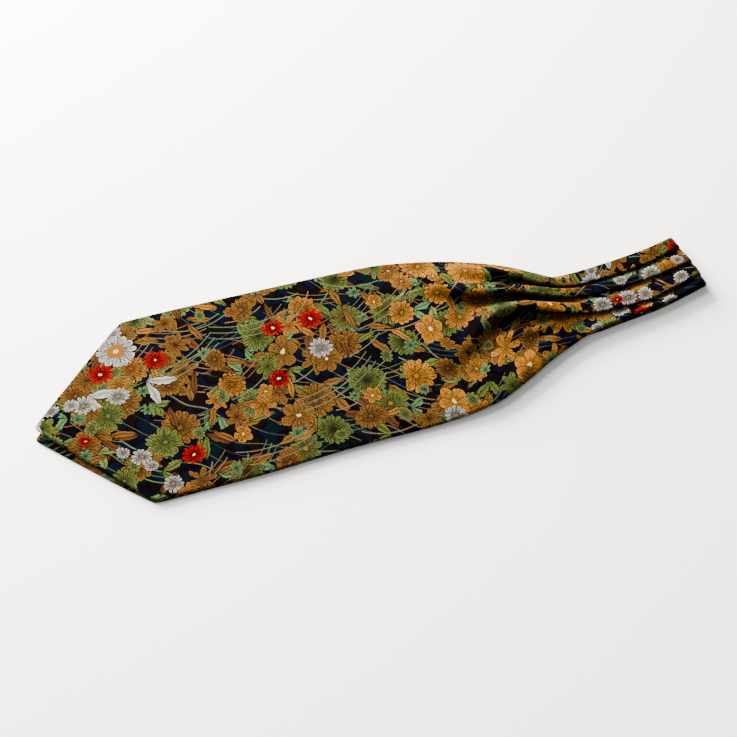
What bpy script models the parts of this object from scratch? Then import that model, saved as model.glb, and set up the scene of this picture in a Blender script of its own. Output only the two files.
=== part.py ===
"""A silk day cravat, folded in half at the middle of its neckband and laid flat.

Two pointed blades lie one on the other. The upper one gathers through three knife pleats into a
narrow neckband, which turns back under itself at the fold.
"""

import math
from bisect import bisect_right

import bmesh
import bpy

MM = 0.001

# Frame while modelling, in millimetres: x runs from the blades' point to the fold of the neckband,
# y from the near edge to the far edge, z up from the surface that the cravat lies on.

# Cloth
WALL = 1.0  # one layered silk wall: face, interlining and back
PITCH = 1.4  # from layer to layer where pleats are pressed
PRESSED_BEND = math.pi * PITCH / 2  # length of cloth in a pressed hairpin bend
SEAM_GAP = 0.3

# Neckband
FOLDED_LENGTH = 570.0
BAND_START = 470.0  # where the pleats are closed and the neckband begins
BAND_LAYERS = 3  # cloth layers where a pressed pleat lies on itself
BAND_HALF = (BAND_LAYERS - 1) * PITCH + 1.5 * WALL  # from the fold's centre plane to the face
BAND_TOP = 2 * BAND_HALF - WALL / 2  # mid-plane of the neckband's face
PRESSED_FLOOR = BAND_TOP - (BAND_LAYERS - 1) * PITCH  # mid-plane of the lowest layer
FOLD_X = FOLDED_LENGTH - BAND_HALF  # axis of the turn at the fold
FOLD_COLUMNS = ("y", "past")  # how far past that the fold lies, as it doesn't run square across
FOLD_SLANT = ((-26.0, 5.5), (-15.0, 5.0), (0.0, 3.0), (8.0, 1.2), (28.0, -3.5))
FOLD_SLANT_RUN = 40.0  # length of neckband over which the slant builds up

# Pointed end of the blades
POINT_DEPTH_FAR = 84.0  # from the point to the far corner, along x
POINT_DEPTH_NEAR = 80.0
POINT_Y = 5.0  # the upper blade's point
POINT_FADE = 230.0  # rows of cloth follow the pointed end up to here
POINT_POWER = 1.6
CORNER_EASE = 1.6  # how much the corners are rounded in
CORNER_RUN = 10.0

# The upper cloth's two long edges. rise is the slope of the cloth at the edge, curl how far the
# edge turns down, bend the length of cloth in that turn and hem what is turned under after it.
EDGE_COLUMNS = ("x", "far", "near", "far_z", "near_z", "rise", "curl", "bend", "hem")
EDGES = (
    (0.0, 82.0, -88.0, 4.0, 4.0, 3.0, 60.0, 2.0, 0.4),
    (84.0, 82.0, -88.0, 4.0, 4.0, 3.0, 60.0, 2.0, 0.4),
    (155.0, 81.0, -89.5, 4.0, 4.0, 3.0, 60.0, 2.0, 0.4),
    (240.0, 79.0, -87.5, 4.1, 4.1, 3.0, 60.0, 2.0, 0.4),
    (303.0, 76.0, -88.0, 4.4, 4.4, 6.0, 60.0, 2.2, 0.4),
    (329.0, 71.5, -87.5, 5.2, 5.2, 10.0, 65.0, 2.8, 0.4),
    (363.0, 62.0, -83.5, 7.0, 6.8, 20.0, 80.0, 3.2, 0.4),
    (395.0, 50.0, -71.5, 7.8, 7.4, 30.0, 100.0, 3.4, 0.6),
    (419.0, 38.0, -60.0, 8.4, 7.6, 34.0, 120.0, 3.6, 0.6),
    (437.0, 26.0, -52.5, 8.6, 7.4, 28.0, 140.0, 3.6, 1.0),
    (452.0, 17.5, -47.0, 8.4, 7.6, 14.0, 165.0, 3.6, 1.6),
    (467.0, 17.0, -43.0, BAND_TOP, BAND_TOP, 0.0, 180.0, 3.3, 2.0),
    (490.0, 18.0, -40.0, BAND_TOP, BAND_TOP, 0.0, 180.0, 3.3, 2.0),
    (527.0, 21.0, -36.0, BAND_TOP, BAND_TOP, 0.0, 180.0, 3.3, 2.0),
    (552.0, 24.5, -30.0, BAND_TOP, BAND_TOP, 0.0, 180.0, 3.3, 1.5),
    (570.0, 28.0, -25.0, BAND_TOP, BAND_TOP, 0.0, 180.0, 3.3, 1.0),
)

# The three pleats, from the far one to the near one. lip is the y of the pleat's edge, turn how far
# the cloth folds back under it, depth the length that goes back, bend the length of cloth in each of
# its two turns, and floor the height of the cloth's mid-plane where it runs on at the bottom.
PLEAT_COLUMNS = ("x", "lip", "floor", "turn", "depth", "bend")
FAR_PLEAT = (
    (0.0, 52.0, 4.3, 0.0, 1.5, 4.0),
    (300.0, 50.0, 5.4, 0.0, 1.5, 4.0),
    (345.0, 47.0, 9.0, 0.0, 1.5, 4.0),
    (363.0, 43.0, 12.0, 0.0, 1.5, 4.0),
    (380.0, 37.0, 13.2, 10.0, 1.5, 4.2),
    (397.0, 30.5, 12.0, 34.0, 2.2, 4.4),
    (412.0, 24.0, 8.6, 68.0, 3.4, 4.2),
    (425.0, 17.0, 6.2, 100.0, 4.4, 3.8),
    (438.0, 9.8, 5.6, 130.0, 5.2, 3.2),
    (455.0, 4.6, 5.4, 168.0, 6.0, 2.4),
    (468.0, 3.8, PRESSED_FLOOR, 180.0, 6.0, PRESSED_BEND),
    (495.0, 4.2, PRESSED_FLOOR, 180.0, 6.0, PRESSED_BEND),
    (536.0, 8.0, PRESSED_FLOOR, 180.0, 6.0, PRESSED_BEND),
    (552.0, 12.0, PRESSED_FLOOR, 180.0, 5.0, PRESSED_BEND),
    (570.0, 17.5, PRESSED_FLOOR, 180.0, 3.5, PRESSED_BEND),
)
MIDDLE_PLEAT = (
    (0.0, 18.0, 4.4, 0.0, 2.0, 6.0),
    (300.0, 28.0, 5.8, 0.0, 2.0, 6.0),
    (335.0, 31.0, 8.6, 2.0, 2.0, 6.0),
    (352.0, 27.5, 9.4, 24.0, 3.0, 6.2),
    (367.0, 20.0, 6.4, 66.0, 4.0, 6.0),
    (384.0, 13.5, 5.0, 100.0, 5.2, 5.2),
    (406.0, 9.0, 4.9, 122.0, 6.4, 4.8),
    (431.0, -0.5, 5.0, 142.0, 6.6, 4.0),
    (455.0, -7.0, 5.2, 166.0, 6.4, 2.8),
    (BAND_START, -8.5, PRESSED_FLOOR, 180.0, 6.0, PRESSED_BEND),
    (495.0, -9.5, PRESSED_FLOOR, 180.0, 6.0, PRESSED_BEND),
    (527.0, -7.5, PRESSED_FLOOR, 180.0, 6.0, PRESSED_BEND),
    (570.0, -0.5, PRESSED_FLOOR, 180.0, 6.0, PRESSED_BEND),
)
NEAR_PLEAT = (
    (0.0, -40.0, 4.4, 0.0, 2.0, 6.0),
    (300.0, -44.0, 5.4, 0.0, 2.0, 6.0),
    (332.0, -42.0, 6.6, 10.0, 2.0, 7.0),
    (356.0, -31.0, 6.0, 30.0, 3.0, 8.0),
    (376.0, -17.0, 5.2, 54.0, 4.0, 7.6),
    (394.0, -9.0, 4.9, 78.0, 5.0, 6.2),
    (412.0, -10.0, 4.9, 100.0, 5.6, 5.0),
    (432.0, -17.0, 5.0, 128.0, 6.2, 4.0),
    (450.0, -23.0, 5.2, 158.0, 7.0, 2.9),
    (468.0, -26.0, PRESSED_FLOOR, 180.0, 7.5, PRESSED_BEND),
    (495.0, -28.0, PRESSED_FLOOR, 180.0, 8.0, PRESSED_BEND),
    (520.0, -28.0, PRESSED_FLOOR, 180.0, 8.0, PRESSED_BEND),
    (540.0, -23.5, PRESSED_FLOOR, 180.0, 7.0, PRESSED_BEND),
    (570.0, -14.5, PRESSED_FLOOR, 180.0, 6.0, PRESSED_BEND),
)
PLEATS = (FAR_PLEAT, MIDDLE_PLEAT, NEAR_PLEAT)

# Faces across each feature of a section
FACES_EDGE = 3
FACES_HEM = 1
FACES_STRIP = (4, 6, 6, 6)
FACES_TURN = 4
FACES_RETURN = 2

# Rows of the cloth along x
BLADE_ROWS = (
    0.0, 10.0, 28.0, 55.0, 90.0, 135.0, 190.0, 245.0, 290.0, 315.0, 332.0, 345.0, 355.0, 364.0,
    373.0, 382.0, 391.0, 400.0, 409.0, 418.0, 427.0, 436.0, 445.0, 453.0, 461.0, BAND_START,
)  # fmt: skip
BAND_ROWS = (0.0, 22.0, 45.0, 65.0, 82.0)  # from the neckband's start
FOLD_FACES = 6  # round the half turn at the fold

# The under blade: the hidden layers in one solid, which shows as two layers at its edges
UNDER_COLUMNS = ("x", "far", "near", "thick")
UNDER = (
    (0.0, 78.0, -88.6, 1.8),
    (84.0, 78.0, -88.6, 1.8),
    (155.0, 78.5, -89.0, 1.8),
    (240.0, 76.5, -86.5, 1.8),
    (303.0, 73.5, -86.0, 2.0),
    (329.0, 69.0, -85.0, 2.6),
    (363.0, 59.5, -80.5, 3.4),
    (395.0, 47.5, -68.5, 3.8),
    (419.0, 35.5, -57.0, 3.8),
    (437.0, 23.5, -49.5, 3.8),
    (452.0, 15.5, -43.5, 3.8),
    (470.0, 15.5, -41.5, 3.8),
)
UNDER_POINT_Y = -7.0
UNDER_POINT_X = -1.5
UNDER_ROWS = (
    0.0, 10.0, 28.0, 55.0, 90.0, 135.0, 190.0, 245.0, 290.0, 320.0, 345.0, 370.0, 395.0, 415.0,
    432.0, 445.0, 458.0, BAND_START,
)  # fmt: skip
UNDER_FACES_FAR = 6  # across, from the far edge to the line of the point
UNDER_FACES_NEAR = 6
# Outline of its side: share of the thickness, and how far that level is set in
UNDER_LEVELS = ((0.0, 0.4), (0.16, 0.0), (0.38, 0.0), (0.5, 0.5), (0.62, 0.0), (0.84, 0.0), (1.0, 0.4))

# Printed silk twill: the colours that the print gives from a step away
BLADE_COLOUR = (0.19, 0.12, 0.035, 1.0)
NECKBAND_COLOUR = (0.16, 0.10, 0.05, 1.0)
UNDER_BLADE_COLOUR = (0.13, 0.09, 0.03, 1.0)
SILK_ROUGHNESS = 0.5


def column(rows, columns, name):
    """A smooth function of x through one column of a table, which never overshoots its rows."""
    xs = [row[0] for row in rows]
    ys = [row[columns.index(name)] for row in rows]
    slopes = [(y1 - y0) / (x1 - x0) for x0, x1, y0, y1 in zip(xs, xs[1:], ys, ys[1:])]
    tangents = [slopes[0]]
    for left, right in zip(slopes, slopes[1:]):
        tangents.append(0.0 if left * right <= 0 else 2 * left * right / (left + right))
    tangents.append(slopes[-1])

    def value(x):
        x = min(max(x, xs[0]), xs[-1])
        i = min(bisect_right(xs, x), len(xs) - 1) - 1
        span = xs[i + 1] - xs[i]
        t = (x - xs[i]) / span
        return (
            ys[i] * (1 + 2 * t) * (1 - t) ** 2
            + ys[i + 1] * t * t * (3 - 2 * t)
            + span * tangents[i] * t * (1 - t) ** 2
            - span * tangents[i + 1] * t * t * (1 - t)
        )

    return value


EDGE = {name: column(EDGES, EDGE_COLUMNS, name) for name in EDGE_COLUMNS[1:]}
PLEAT = [{name: column(rows, PLEAT_COLUMNS, name) for name in PLEAT_COLUMNS[1:]} for rows in PLEATS]
UNDER_EDGE = {name: column(UNDER, UNDER_COLUMNS, name) for name in UNDER_COLUMNS[1:]}
PAST_FOLD = column(FOLD_SLANT, FOLD_COLUMNS, "past")


class Pen:
    """Draws a section of the cloth in the y-z plane. Heading 0 runs towards -y, and a positive one climbs."""

    STEPS = 16

    def __init__(self, y, z, heading):
        self.y, self.z, self.heading = y, z, heading

    def step(self, length):
        self.y -= length * math.cos(self.heading)
        self.z += length * math.sin(self.heading)
        return (self.y, self.z)

    def line(self, length):
        return [(self.y, self.z), self.step(length)]

    def bend(self, angle, length):
        """Cloth of that length which turns through the angle, counted positive upwards."""
        points = [(self.y, self.z)]
        for _ in range(self.STEPS):
            self.heading += angle / self.STEPS / 2
            points.append(self.step(length / self.STEPS))
            self.heading += angle / self.STEPS / 2
        return points

    def sweep_to(self, y, z, heading):
        """A smooth strip of cloth from here to (y, z), arriving on that heading."""
        y0, z0, pull = self.y, self.z, math.hypot(y - self.y, z - self.z)
        dy0, dz0 = -pull * math.cos(self.heading), pull * math.sin(self.heading)
        dy1, dz1 = -pull * math.cos(heading), pull * math.sin(heading)
        points = []
        for k in range(self.STEPS + 1):
            t = k / self.STEPS
            a, b = (1 + 2 * t) * (1 - t) ** 2, t * t * (3 - 2 * t)
            c, d = t * (1 - t) ** 2, -t * t * (1 - t)
            points.append((a * y0 + b * y + c * dy0 + d * dy1, a * z0 + b * z + c * dz0 + d * dz1))
        self.y, self.z, self.heading = y, z, heading
        return points


def resampled(points, faces):
    """The same line as so many equal lengths, without its last point."""
    lengths = [0.0]
    for (y0, z0), (y1, z1) in zip(points, points[1:]):
        lengths.append(lengths[-1] + math.hypot(y1 - y0, z1 - z0))
    made = []
    for k in range(faces):
        at = lengths[-1] * k / faces
        i = min(bisect_right(lengths, at), len(lengths) - 1) - 1
        t = (at - lengths[i]) / (lengths[i + 1] - lengths[i])
        made.append(tuple(p + (q - p) * t for p, q in zip(points[i], points[i + 1])))
    return made


def edge_turn(y, z, rise, x):
    """The cloth outside a shoulder at (y, z), where it turns down and under, drawn towards -y."""
    pen = Pen(y, z, -rise)
    curl = math.radians(EDGE["curl"](x))
    return pen.bend(-(curl - rise), EDGE["bend"](x)), pen.line(EDGE["hem"](x))


def shoulder(edge, x):
    """How far inside the outline the cloth starts to turn down at an edge."""
    curl = math.radians(EDGE["curl"](x))
    radius = EDGE["bend"](x) / curl
    return edge - math.copysign(WALL / 2 + radius * math.sin(min(curl, math.pi / 2)), edge)


def section(x):
    """The upper cloth's mid-line at x, from the far hem over the pleats to the near hem."""
    rise = math.radians(EDGE["rise"](x))
    far, near = shoulder(EDGE["far"](x), x), shoulder(EDGE["near"](x), x)
    bend, hem = edge_turn(-far, EDGE["far_z"](x), rise, x)
    points = []
    for part, faces in ((hem, FACES_HEM), (bend, FACES_EDGE)):
        points += resampled([(-y, z) for y, z in reversed(part)], faces)
    pen = Pen(far, EDGE["far_z"](x), rise)
    run_on = 0.0
    for pleat, faces in zip(PLEAT, FACES_STRIP):
        turn, bend, depth = math.radians(pleat["turn"](x)), pleat["bend"](x), pleat["depth"](x)
        radius = bend / max(turn, 0.01)
        outside = (radius + WALL / 2) * math.sin(min(turn, math.pi / 2))
        drop = 2 * radius * (1 - math.cos(turn)) + depth * math.sin(turn)
        goes_back = max(0.0, -depth * math.cos(turn))
        top = pleat["floor"](x) + drop
        strip = pen.line(run_on) + pen.sweep_to(pleat["lip"](x) + outside + goes_back, top, 0.0)
        strip += pen.line(goes_back)
        points += resampled(strip, faces)
        points += resampled(pen.bend(-turn, bend), FACES_TURN)
        points += resampled(pen.line(depth), FACES_RETURN)
        points += resampled(pen.bend(turn, bend), FACES_TURN)
        run_on = max(0.0, pen.y - pleat["lip"](x))
    strip = pen.line(run_on) + pen.sweep_to(near, EDGE["near_z"](x), -rise)
    points += resampled(strip, FACES_STRIP[-1])
    bend, hem = edge_turn(near, EDGE["near_z"](x), rise, x)
    points += resampled(bend, FACES_EDGE) + resampled(hem, FACES_HEM)
    return points + [hem[-1]]


def point_fade(x):
    """How much of the pointed end a row of cloth still follows."""
    return max(0.0, 1 - x / POINT_FADE) ** POINT_POWER


def blade_row(x):
    """A row of the upper blade: points from the far hem to the near hem, bent to the pointed end."""
    points = section(x)
    follow = point_fade(x)
    apex = min(range(len(points)), key=lambda i: abs(section(0.0)[i][0] - POINT_Y))
    last = len(points) - 1
    soften = 1.0 + x / 4
    row = []
    for i, (y, z) in enumerate(points):
        if i <= apex:
            depth, share = POINT_DEPTH_FAR, (y - points[apex][0]) / (points[0][0] - points[apex][0])
        else:
            depth, share = POINT_DEPTH_NEAR, (y - points[apex][0]) / (points[last][0] - points[apex][0])
        reach = math.hypot(depth * share, soften) - soften
        ease = 1 - CORNER_EASE / EDGES[0][1] * math.exp(-x / CORNER_RUN) * abs(share) ** 6
        row.append((x + follow * reach, y * ease, z))
    return row


def band_row(x, angle):
    """A row of the neckband, turned by the angle round the fold's axis: 0 is the upper run."""
    row = []
    nearness = min(1.0, max(0.0, 1 - (FOLD_X - x) / FOLD_SLANT_RUN))
    settled = nearness * nearness * (3 - 2 * nearness)
    for y, z in section(x):
        height = z - BAND_HALF
        place = x + settled * PAST_FOLD(y) + height * math.sin(angle)
        row.append((place, y, BAND_HALF + height * math.cos(angle)))
    return row


def cloth_from_rows(name, rows):
    """An open sheet through rows of points, each from the far edge to the near edge, given its wall."""
    across, along = len(rows[0]) - 1, len(rows) - 1
    bm = bmesh.new()
    bmesh.ops.create_grid(bm, x_segments=along, y_segments=across, size=1.0)
    for vert in bm.verts:
        i = round((vert.co.x + 1) / 2 * along)
        j = round((1 - vert.co.y) / 2 * across)
        vert.co = [value * MM for value in rows[i][j]]
    obj = object_from_bmesh(name, bm)
    wall = obj.modifiers.new("wall", "SOLIDIFY")
    wall.thickness = WALL * MM
    wall.offset = 0.0
    return obj


def object_from_bmesh(name, bm):
    mesh = bpy.data.meshes.new(name)
    bm.to_mesh(mesh)
    bm.free()
    mesh.shade_smooth()
    mesh.set_sharp_from_angle(angle=math.radians(40))
    obj = bpy.data.objects.new(name, mesh)
    collection.objects.link(obj)
    return obj


def make_upper_blade():
    """The upper blade with its pointed end and the gathers where the pleats open."""
    return cloth_from_rows("upper_blade", [blade_row(x) for x in BLADE_ROWS])


def make_neckband():
    """The pleated neckband: the upper run, the turn at the fold and the run back underneath."""
    start = BAND_START + SEAM_GAP
    along = [start + x for x in BAND_ROWS] + [FOLD_X]
    rows = [band_row(x, 0.0) for x in along]
    rows += [band_row(FOLD_X, math.pi * k / FOLD_FACES) for k in range(1, FOLD_FACES)]
    rows += [band_row(x, math.pi) for x in reversed(along)]
    return cloth_from_rows("neckband", rows)


def under_point(x, share, inset):
    """A point of the under blade's outline grid: share runs from 0 at the far edge to 1 at the near one."""
    apex = UNDER_FACES_FAR / (UNDER_FACES_FAR + UNDER_FACES_NEAR)
    soften = 1.0 + x / 4
    if share <= apex:
        depth, out = POINT_DEPTH_FAR, 1 - share / apex
    else:
        depth, out = POINT_DEPTH_NEAR, (share - apex) / (1 - apex)
    reach = math.hypot(depth * out, soften) - soften
    row_x = x + point_fade(x) * reach + UNDER_POINT_X * point_fade(x)
    ends = {"far": UNDER_EDGE["far"](row_x) - inset, "near": UNDER_EDGE["near"](row_x) + inset}
    edge = ends["far"] if share <= apex else ends["near"]
    ease = 1 - CORNER_EASE / EDGES[0][1] * math.exp(-x / CORNER_RUN) * out**6
    centre = UNDER_POINT_Y * point_fade(x)
    y = (centre + (edge - centre) * out) * ease
    if x == UNDER_ROWS[0]:
        row_x += inset * math.sqrt(2)
    if x == UNDER_ROWS[-1]:
        row_x -= inset + SEAM_GAP / 2
    return row_x, y


def make_under_blade():
    """The hidden layers under the upper blade as one solid: flat below, two layers at the edges."""
    across, along = UNDER_FACES_FAR + UNDER_FACES_NEAR, len(UNDER_ROWS) - 1
    bm = bmesh.new()
    bmesh.ops.create_grid(bm, x_segments=along, y_segments=across, size=1.0)
    place = {}
    for vert in bm.verts:
        i = round((vert.co.x + 1) / 2 * along)
        place[vert] = (UNDER_ROWS[i], (1 - vert.co.y) / 2)
    level = list(bm.faces)
    for share_up, inset in UNDER_LEVELS:
        if share_up > 0:
            below = {vert.co.to_tuple(): place[vert] for face in level for vert in face.verts}
            made = bmesh.ops.extrude_face_region(bm, geom=level)["geom"]
            bmesh.ops.delete(bm, geom=level, context="FACES")
            level = [item for item in made if isinstance(item, bmesh.types.BMFace)]
            for item in made:
                if isinstance(item, bmesh.types.BMVert):
                    place[item] = below[item.co.to_tuple()]
        for vert in {vert for face in level for vert in face.verts}:
            x, share = place[vert]
            row_x, y = under_point(x, share, inset)
            vert.co = (row_x * MM, y * MM, UNDER_EDGE["thick"](row_x) * share_up * MM)
    bmesh.ops.holes_fill(bm, edges=[edge for edge in bm.edges if edge.is_boundary])
    bmesh.ops.recalc_face_normals(bm, faces=bm.faces)
    return object_from_bmesh("under_blade", bm)


def silk(name, colour):
    """Printed silk twill."""
    material = bpy.data.materials.new(name)
    material.use_nodes = True
    shader = material.node_tree.nodes["Principled BSDF"]
    shader.inputs["Base Color"].default_value = colour
    shader.inputs["Roughness"].default_value = SILK_ROUGHNESS
    shader.inputs["Metallic"].default_value = 0.0
    return material


def centre_on_origin(objects):
    """Puts the middle of the cravat's underside on the origin."""
    bpy.context.view_layer.update()
    graph = bpy.context.evaluated_depsgraph_get()
    corners = []
    for obj in objects:
        mesh = obj.evaluated_get(graph).to_mesh()
        corners += [obj.matrix_world @ v.co for v in mesh.vertices]
    low = [min(c[axis] for c in corners) for axis in range(3)]
    high = [max(c[axis] for c in corners) for axis in range(3)]
    for obj in objects:
        obj.location = (-(low[0] + high[0]) / 2, -(low[1] + high[1]) / 2, -low[2])


for old in list(bpy.data.objects):
    bpy.data.objects.remove(old)
collection = bpy.data.collections.new("silk_cravat")
bpy.context.scene.collection.children.link(collection)

upper_blade = make_upper_blade()
upper_blade.data.materials.append(silk("blade_silk", BLADE_COLOUR))
neckband = make_neckband()
neckband.data.materials.append(silk("neckband_silk", NECKBAND_COLOUR))
under_blade = make_under_blade()
under_blade.data.materials.append(silk("under_blade_silk", UNDER_BLADE_COLOUR))
centre_on_origin([upper_blade, neckband, under_blade])
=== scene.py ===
import math
from bisect import bisect_right

import bmesh
import bpy
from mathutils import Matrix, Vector


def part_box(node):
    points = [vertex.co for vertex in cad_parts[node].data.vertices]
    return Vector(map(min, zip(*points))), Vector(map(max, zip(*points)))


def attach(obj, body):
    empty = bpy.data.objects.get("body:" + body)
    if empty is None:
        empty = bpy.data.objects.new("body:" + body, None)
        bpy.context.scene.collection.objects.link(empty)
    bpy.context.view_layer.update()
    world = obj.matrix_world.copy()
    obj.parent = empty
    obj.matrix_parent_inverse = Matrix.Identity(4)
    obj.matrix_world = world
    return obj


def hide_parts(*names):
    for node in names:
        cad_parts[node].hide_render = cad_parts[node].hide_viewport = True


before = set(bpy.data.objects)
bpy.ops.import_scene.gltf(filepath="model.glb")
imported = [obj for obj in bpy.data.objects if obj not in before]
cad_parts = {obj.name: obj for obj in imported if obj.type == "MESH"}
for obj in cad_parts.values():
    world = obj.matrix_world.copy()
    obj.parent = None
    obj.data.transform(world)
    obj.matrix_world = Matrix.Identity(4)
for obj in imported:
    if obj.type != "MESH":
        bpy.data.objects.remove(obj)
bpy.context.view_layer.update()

mm = 0.001

# Lengths are in millimetres here. x runs from the blades' point to the fold of the neckband, y from
# the near edge to the far edge, z up from the surface; toFrame puts a point where the solids are.
cravat = {
    "foldedLength": 570.0,
    "bandStart": 470.0,     # the pleats are closed from here on
    "pleatPitch": 1.4,      # from layer to layer where the pleats are pressed
    "solidWall": 1.0,       # wall of the solids
    "silkWall": 0.8,        # wall of the silk shown here
    "underNearMost": -89.0, # y where the under blade reaches nearest
}
pressedBend = math.pi * cravat["pleatPitch"] / 2
bandHalf = 2 * cravat["pleatPitch"] + 1.5 * cravat["solidWall"]
bandTop = 2 * bandHalf - cravat["solidWall"] / 2
pressedFloor = bandTop - 2 * cravat["pleatPitch"]
foldX = cravat["foldedLength"] - bandHalf
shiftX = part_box("upper_blade")[1][0] / mm - cravat["bandStart"]
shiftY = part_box("under_blade")[0][1] / mm - cravat["underNearMost"]


def toFrame(x, y, z):
    return Vector(((x + shiftX) * mm, (y + shiftY) * mm, z * mm))


def column(rows, names, name):
    # a smooth function of x through one column of a table, which never overshoots its rows
    xs = [row[0] for row in rows]
    ys = [row[names.index(name)] for row in rows]
    slopes = [(y1 - y0) / (x1 - x0) for x0, x1, y0, y1 in zip(xs, xs[1:], ys, ys[1:])]
    tangents = [slopes[0]]
    for left, right in zip(slopes, slopes[1:]):
        tangents.append(0.0 if left * right <= 0 else 2 * left * right / (left + right))
    tangents.append(slopes[-1])

    def value(x):
        x = min(max(x, xs[0]), xs[-1])
        i = min(bisect_right(xs, x), len(xs) - 1) - 1
        span = xs[i + 1] - xs[i]
        t = (x - xs[i]) / span
        return (ys[i] * (1 + 2 * t) * (1 - t) ** 2 + ys[i + 1] * t * t * (3 - 2 * t)
                + span * tangents[i] * t * (1 - t) ** 2 - span * tangents[i + 1] * t * t * (1 - t))

    return value


def columns(names, rows):
    return {name: column(rows, names, name) for name in names[1:]}


def smoothStep(low, high, value):
    t = min(1.0, max(0.0, (value - low) / (high - low)))
    return t * t * (3 - 2 * t)


# The upper cloth's long edges: rise is the slope of the cloth there, curl how far it turns down,
# bend the length of that turn and hem what is turned under after it.
edge = columns(("x", "far", "near", "farZ", "nearZ", "rise", "curl", "bend", "hem"), (
    (0.0, 82.0, -88.0, 4.0, 4.0, 3.0, 100.0, 1.7, 0.3),
    (84.0, 82.0, -88.0, 4.0, 4.0, 3.0, 100.0, 1.7, 0.3),
    (155.0, 81.0, -89.5, 4.0, 4.0, 3.0, 100.0, 1.7, 0.3),
    (240.0, 79.0, -87.5, 4.1, 4.1, 3.0, 100.0, 1.7, 0.3),
    (303.0, 76.0, -88.0, 4.4, 4.4, 4.0, 100.0, 1.9, 0.4),
    (329.0, 71.5, -87.5, 5.2, 5.2, 5.0, 105.0, 2.6, 0.6),
    (363.0, 62.0, -83.5, 7.0, 6.8, 9.0, 115.0, 3.2, 0.8),
    (395.0, 50.0, -71.5, 7.8, 7.4, 13.0, 125.0, 3.4, 1.0),
    (419.0, 38.0, -60.0, 8.4, 7.6, 15.0, 135.0, 3.6, 1.0),
    (437.0, 26.0, -52.5, 8.6, 7.4, 13.0, 145.0, 3.6, 1.2),
    (452.0, 17.5, -47.0, 8.4, 7.6, 8.0, 165.0, 3.6, 1.6),
    (467.0, 17.0, -43.0, bandTop, bandTop, 0.0, 180.0, 3.3, 2.0),
    (490.0, 18.0, -40.0, bandTop, bandTop, 0.0, 180.0, 3.3, 2.0),
    (527.0, 21.0, -36.0, bandTop, bandTop, 0.0, 180.0, 3.3, 2.0),
    (552.0, 24.5, -30.0, bandTop, bandTop, 0.0, 180.0, 3.3, 1.5),
    (570.0, 28.0, -25.0, bandTop, bandTop, 0.0, 180.0, 3.3, 1.0),
))

# The pleats, far to near: lip is the y of the pleat's edge, turn how far the cloth folds back under
# it, depth the length that goes back, bend the length of each of its turns, floor its lowest height.
pleatNames = ("x", "lip", "floor", "turn", "depth", "bend")
pleats = (
    columns(pleatNames, (
        (0.0, 52.0, 4.3, 0.0, 1.5, 4.0),
        (300.0, 50.0, 5.4, 0.0, 1.5, 4.0),
        (345.0, 47.0, 9.0, 0.0, 1.5, 4.0),
        (363.0, 43.0, 12.0, 0.0, 1.5, 4.0),
        (380.0, 37.0, 13.2, 10.0, 1.5, 4.2),
        (397.0, 30.5, 12.0, 34.0, 2.2, 4.4),
        (412.0, 24.0, 8.6, 68.0, 3.4, 4.2),
        (425.0, 17.0, 6.2, 100.0, 4.4, 3.8),
        (438.0, 9.8, 5.6, 130.0, 5.2, 3.2),
        (455.0, 4.6, 5.4, 168.0, 6.0, 2.4),
        (468.0, 3.8, pressedFloor, 180.0, 6.0, pressedBend),
        (495.0, 4.2, pressedFloor, 180.0, 6.0, pressedBend),
        (536.0, 8.0, pressedFloor, 180.0, 6.0, pressedBend),
        (552.0, 12.0, pressedFloor, 180.0, 5.0, pressedBend),
        (570.0, 17.5, pressedFloor, 180.0, 3.5, pressedBend),
    )),
    columns(pleatNames, (
        (0.0, 18.0, 4.4, 0.0, 2.0, 6.0),
        (300.0, 28.0, 5.8, 0.0, 2.0, 6.0),
        (335.0, 31.0, 8.6, 2.0, 2.0, 6.0),
        (352.0, 27.5, 9.4, 24.0, 3.0, 6.2),
        (367.0, 20.0, 6.4, 66.0, 4.0, 6.0),
        (384.0, 13.5, 5.0, 100.0, 5.2, 5.2),
        (406.0, 9.0, 4.9, 122.0, 6.4, 4.8),
        (431.0, -0.5, 5.0, 142.0, 6.6, 4.0),
        (455.0, -7.0, 5.2, 166.0, 6.4, 2.8),
        (470.0, -8.5, pressedFloor, 180.0, 6.0, pressedBend),
        (495.0, -9.5, pressedFloor, 180.0, 6.0, pressedBend),
        (527.0, -7.5, pressedFloor, 180.0, 6.0, pressedBend),
        (570.0, -0.5, pressedFloor, 180.0, 6.0, pressedBend),
    )),
    columns(pleatNames, (
        (0.0, -40.0, 4.4, 0.0, 2.0, 6.0),
        (300.0, -44.0, 5.4, 0.0, 2.0, 6.0),
        (332.0, -42.0, 6.6, 5.0, 2.0, 7.0),
        (356.0, -31.0, 6.4, 15.0, 3.0, 8.0),
        (376.0, -17.0, 5.8, 36.0, 4.0, 7.6),
        (394.0, -9.0, 5.1, 68.0, 5.0, 6.2),
        (412.0, -10.0, 4.9, 100.0, 5.6, 5.0),
        (432.0, -17.0, 5.0, 128.0, 6.2, 4.0),
        (450.0, -23.0, 5.2, 158.0, 7.0, 2.9),
        (468.0, -26.0, pressedFloor, 180.0, 7.5, pressedBend),
        (495.0, -28.0, pressedFloor, 180.0, 8.0, pressedBend),
        (520.0, -28.0, pressedFloor, 180.0, 8.0, pressedBend),
        (540.0, -23.5, pressedFloor, 180.0, 7.0, pressedBend),
        (570.0, -14.5, pressedFloor, 180.0, 6.0, pressedBend),
    )),
)

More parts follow.
